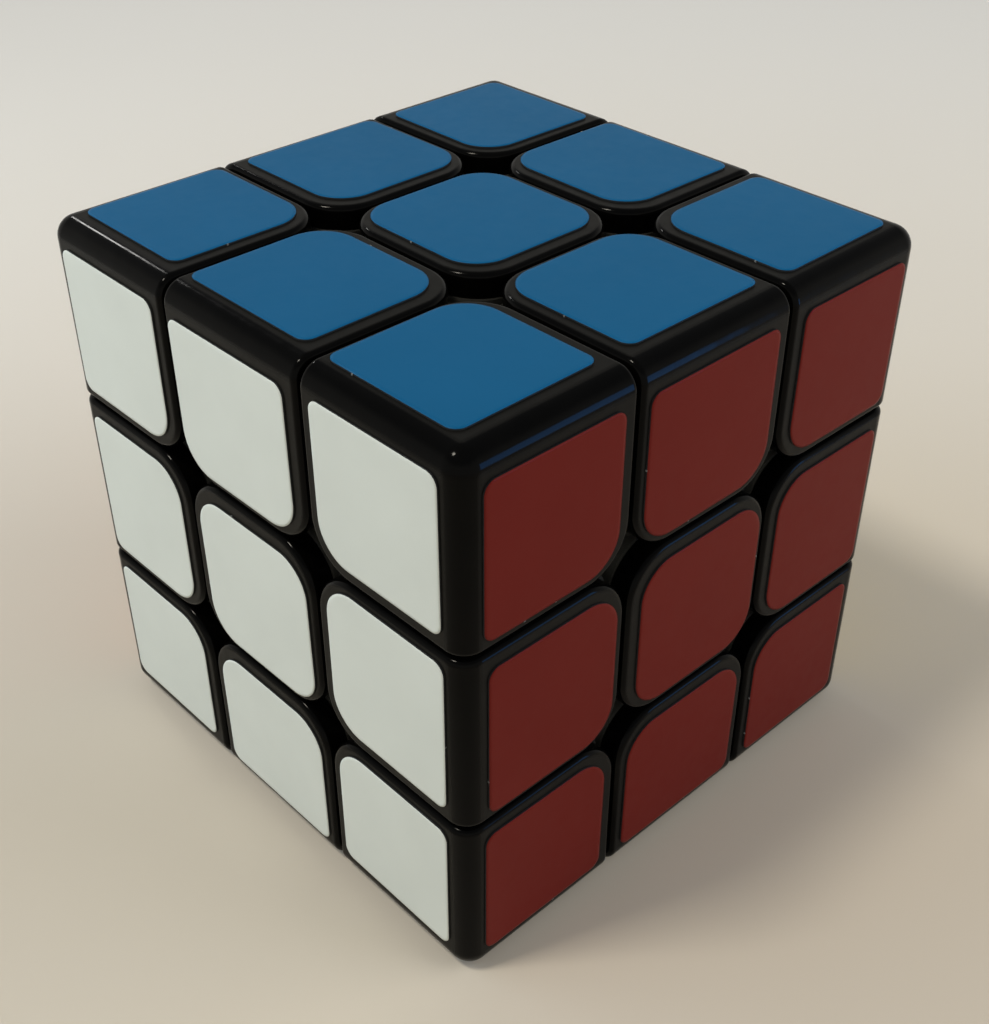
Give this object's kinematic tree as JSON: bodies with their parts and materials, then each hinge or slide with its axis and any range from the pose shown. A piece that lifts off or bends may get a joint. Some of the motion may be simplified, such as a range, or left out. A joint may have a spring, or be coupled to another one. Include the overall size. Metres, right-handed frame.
{
  "type": "twisty puzzle cube",
  "caption": "Stickered twisty puzzle cube: every face turns on a sprung core and carries its edges and corners round with it.",
  "frame": {"origin": "middle of the core, where the six turning axes meet", "axes": "+Z out of the top face, +X out of the right face, -Y out of the front face"},
  "size_m": [0.057, 0.057, 0.057],
  "materials": {
    "black_plastic": "smooth injection-moulded black, satin on the flats and glossy on the roundings",
    "core_plastic": "moulded satin",
    "screw_steel": "plain steel",
    "spring_steel": "drawn wire",
    "washer_steel": "stamped steel",
    "sticker_vinyl": "vinyl sheet; a set of two or three stickers, each in the colour of the face it lies on",
    "sticker_blue": "satin vinyl",
    "sticker_green": "satin vinyl",
    "sticker_white": "satin vinyl",
    "sticker_yellow": "satin vinyl",
    "sticker_red": "satin vinyl",
    "sticker_orange": "satin vinyl"
  },
  "bodies": {
    "core": {"core_spider": "core_plastic", "tension_screws": "screw_steel", "tension_springs": "spring_steel", "spring_washers": "washer_steel"},
    "centre_top": {"centre_top": "black_plastic", "sticker_top": "sticker_blue"},
    "centre_bottom": {"centre_bottom": "black_plastic", "sticker_bottom": "sticker_green"},
    "centre_front": {"centre_front": "black_plastic", "sticker_front": "sticker_white"},
    "centre_back": {"centre_back": "black_plastic", "sticker_back": "sticker_yellow"},
    "centre_left": {"centre_left": "black_plastic", "sticker_left": "sticker_orange"},
    "centre_right": {"centre_right": "black_plastic", "sticker_right": "sticker_red"},
    "edge_back_right": {"edge_back_right": "black_plastic", "stickers_back_right": "sticker_vinyl"},
    "edge_front_right": {"edge_front_right": "black_plastic", "stickers_front_right": "sticker_vinyl"},
    "edge_top_right": {"edge_top_right": "black_plastic", "stickers_top_right": "sticker_vinyl"},
    "edge_bottom_right": {"edge_bottom_right": "black_plastic", "stickers_bottom_right": "sticker_vinyl"},
    "edge_back_left": {"edge_back_left": "black_plastic", "stickers_back_left": "sticker_vinyl"},
    "edge_front_left": {"edge_front_left": "black_plastic", "stickers_front_left": "sticker_vinyl"},
    "edge_top_left": {"edge_top_left": "black_plastic", "stickers_top_left": "sticker_vinyl"},
    "edge_bottom_left": {"edge_bottom_left": "black_plastic", "stickers_bottom_left": "sticker_vinyl"},
    "edge_top_back": {"edge_top_back": "black_plastic", "stickers_top_back": "sticker_vinyl"},
    "edge_bottom_back": {"edge_bottom_back": "black_plastic", "stickers_bottom_back": "sticker_vinyl"},
    "edge_top_front": {"edge_top_front": "black_plastic", "stickers_top_front": "sticker_vinyl"},
    "edge_bottom_front": {"edge_bottom_front": "black_plastic", "stickers_bottom_front": "sticker_vinyl"},
    "corner_top_back_right": {"corner_top_back_right": "black_plastic", "stickers_top_back_right": "sticker_vinyl"},
    "corner_bottom_back_right": {"corner_bottom_back_right": "black_plastic", "stickers_bottom_back_right": "sticker_vinyl"},
    "corner_top_front_right": {"corner_top_front_right": "black_plastic", "stickers_top_front_right": "sticker_vinyl"},
    "corner_bottom_front_right": {"corner_bottom_front_right": "black_plastic", "stickers_bottom_front_right": "sticker_vinyl"},
    "corner_top_back_left": {"corner_top_back_left": "black_plastic", "stickers_top_back_left": "sticker_vinyl"},
    "corner_bottom_back_left": {"corner_bottom_back_left": "black_plastic", "stickers_bottom_back_left": "sticker_vinyl"},
    "corner_top_front_left": {"corner_top_front_left": "black_plastic", "stickers_top_front_left": "sticker_vinyl"},
    "corner_bottom_front_left": {"corner_bottom_front_left": "black_plastic", "stickers_bottom_front_left": "sticker_vinyl"}
  },
  "joints": [
    {"name": "turn_top", "type": "hinge", "parent": "core", "child": "centre_top", "pos_m": [0, 0, 0], "axis": [0, 0, 1], "continuous": true},
    {"name": "turn_bottom", "type": "hinge", "parent": "core", "child": "centre_bottom", "pos_m": [0, 0, 0], "axis": [0, 0, -1], "continuous": true},
    {"name": "turn_front", "type": "hinge", "parent": "core", "child": "centre_front", "pos_m": [0, 0, 0], "axis": [0, -1, 0], "continuous": true},
    {"name": "turn_back", "type": "hinge", "parent": "core", "child": "centre_back", "pos_m": [0, 0, 0], "axis": [0, 1, 0], "continuous": true},
    {"name": "turn_left", "type": "hinge", "parent": "core", "child": "centre_left", "pos_m": [0, 0, 0], "axis": [-1, 0, 0], "continuous": true},
    {"name": "turn_right", "type": "hinge", "parent": "core", "child": "centre_right", "pos_m": [0, 0, 0], "axis": [1, 0, 0], "continuous": true},
    {"name": "edge_back_right_with_back", "type": "hinge", "parent": "centre_right", "child": "edge_back_right", "pos_m": [0, 0, 0], "axis": [0, 1, 0], "continuous": true},
    {"name": "edge_front_right_with_front", "type": "hinge", "parent": "centre_right", "child": "edge_front_right", "pos_m": [0, 0, 0], "axis": [0, -1, 0], "continuous": true},
    {"name": "edge_top_right_with_top", "type": "hinge", "parent": "centre_right", "child": "edge_top_right", "pos_m": [0, 0, 0], "axis": [0, 0, 1], "continuous": true},
    {"name": "edge_bottom_right_with_bottom", "type": "hinge", "parent": "centre_right", "child": "edge_bottom_right", "pos_m": [0, 0, 0], "axis": [0, 0, -1], "continuous": true},
    {"name": "edge_back_left_with_left", "type": "hinge", "parent": "centre_back", "child": "edge_back_left", "pos_m": [0, 0, 0], "axis": [-1, 0, 0], "continuous": true},
    {"name": "edge_front_left_with_left", "type": "hinge", "parent": "centre_front", "child": "edge_front_left", "pos_m": [0, 0, 0], "axis": [-1, 0, 0], "continuous": true},
    {"name": "edge_top_left_with_left", "type": "hinge", "parent": "centre_top", "child": "edge_top_left", "pos_m": [0, 0, 0], "axis": [-1, 0, 0], "continuous": true},
    {"name": "edge_bottom_left_with_left", "type": "hinge", "parent": "centre_bottom", "child": "edge_bottom_left", "pos_m": [0, 0, 0], "axis": [-1, 0, 0], "continuous": true},
    {"name": "edge_top_back_with_top", "type": "hinge", "parent": "centre_back", "child": "edge_top_back", "pos_m": [0, 0, 0], "axis": [0, 0, 1], "continuous": true},
    {"name": "edge_bottom_back_with_back", "type": "hinge", "parent": "centre_bottom", "child": "edge_bottom_back", "pos_m": [0, 0, 0], "axis": [0, 1, 0], "continuous": true},
    {"name": "edge_top_front_with_front", "type": "hinge", "parent": "centre_top", "child": "edge_top_front", "pos_m": [0, 0, 0], "axis": [0, -1, 0], "continuous": true},
    {"name": "edge_bottom_front_with_bottom", "type": "hinge", "parent": "centre_front", "child": "edge_bottom_front", "pos_m": [0, 0, 0], "axis": [0, 0, -1], "continuous": true},
    {"name": "corner_top_back_right_with_right", "type": "hinge", "parent": "edge_top_back", "child": "corner_top_back_right", "pos_m": [0, 0, 0], "axis": [1, 0, 0], "continuous": true},
    {"name": "corner_bottom_back_right_with_right", "type": "hinge", "parent": "edge_bottom_back", "child": "corner_bottom_back_right", "pos_m": [0, 0, 0], "axis": [1, 0, 0], "continuous": true},
    {"name": "corner_top_front_right_with_right", "type": "hinge", "parent": "edge_top_front", "child": "corner_top_front_right", "pos_m": [0, 0, 0], "axis": [1, 0, 0], "continuous": true},
    {"name": "corner_bottom_front_right_with_right", "type": "hinge", "parent": "edge_bottom_front", "child": "corner_bottom_front_right", "pos_m": [0, 0, 0], "axis": [1, 0, 0], "continuous": true},
    {"name": "corner_top_back_left_with_left", "type": "hinge", "parent": "edge_top_back", "child": "corner_top_back_left", "pos_m": [0, 0, 0], "axis": [-1, 0, 0], "continuous": true},
    {"name": "corner_bottom_back_left_with_left", "type": "hinge", "parent": "edge_bottom_back", "child": "corner_bottom_back_left", "pos_m": [0, 0, 0], "axis": [-1, 0, 0], "continuous": true},
    {"name": "corner_top_front_left_with_left", "type": "hinge", "parent": "edge_top_front", "child": "corner_top_front_left", "pos_m": [0, 0, 0], "axis": [-1, 0, 0], "continuous": true},
    {"name": "corner_bottom_front_left_with_left", "type": "hinge", "parent": "edge_bottom_front", "child": "corner_bottom_front_left", "pos_m": [0, 0, 0], "axis": [-1, 0, 0], "continuous": true}
  ],
  "couplings": [
    {"joint": "edge_back_right_with_back", "follows": "turn_back", "ratio": 1},
    {"joint": "edge_front_right_with_front", "follows": "turn_front", "ratio": 1},
    {"joint": "edge_top_right_with_top", "follows": "turn_top", "ratio": 1},
    {"joint": "edge_bottom_right_with_bottom", "follows": "turn_bottom", "ratio": 1},
    {"joint": "edge_back_left_with_left", "follows": "turn_left", "ratio": 1},
    {"joint": "edge_front_left_with_left", "follows": "turn_left", "ratio": 1},
    {"joint": "edge_top_left_with_left", "follows": "turn_left", "ratio": 1},
    {"joint": "edge_bottom_left_with_left", "follows": "turn_left", "ratio": 1},
    {"joint": "edge_top_back_with_top", "follows": "turn_top", "ratio": 1},
    {"joint": "edge_bottom_back_with_back", "follows": "turn_back", "ratio": 1},
    {"joint": "edge_top_front_with_front", "follows": "turn_front", "ratio": 1},
    {"joint": "edge_bottom_front_with_bottom", "follows": "turn_bottom", "ratio": 1},
    {"joint": "corner_top_back_right_with_right", "follows": "turn_right", "ratio": 1},
    {"joint": "corner_bottom_back_right_with_right", "follows": "turn_right", "ratio": 1},
    {"joint": "corner_top_front_right_with_right", "follows": "turn_right", "ratio": 1},
    {"joint": "corner_bottom_front_right_with_right", "follows": "turn_right", "ratio": 1},
    {"joint": "corner_top_back_left_with_left", "follows": "turn_left", "ratio": 1},
    {"joint": "corner_bottom_back_left_with_left", "follows": "turn_left", "ratio": 1},
    {"joint": "corner_top_front_left_with_left", "follows": "turn_left", "ratio": 1},
    {"joint": "corner_bottom_front_left_with_left", "follows": "turn_left", "ratio": 1}
  ]
}
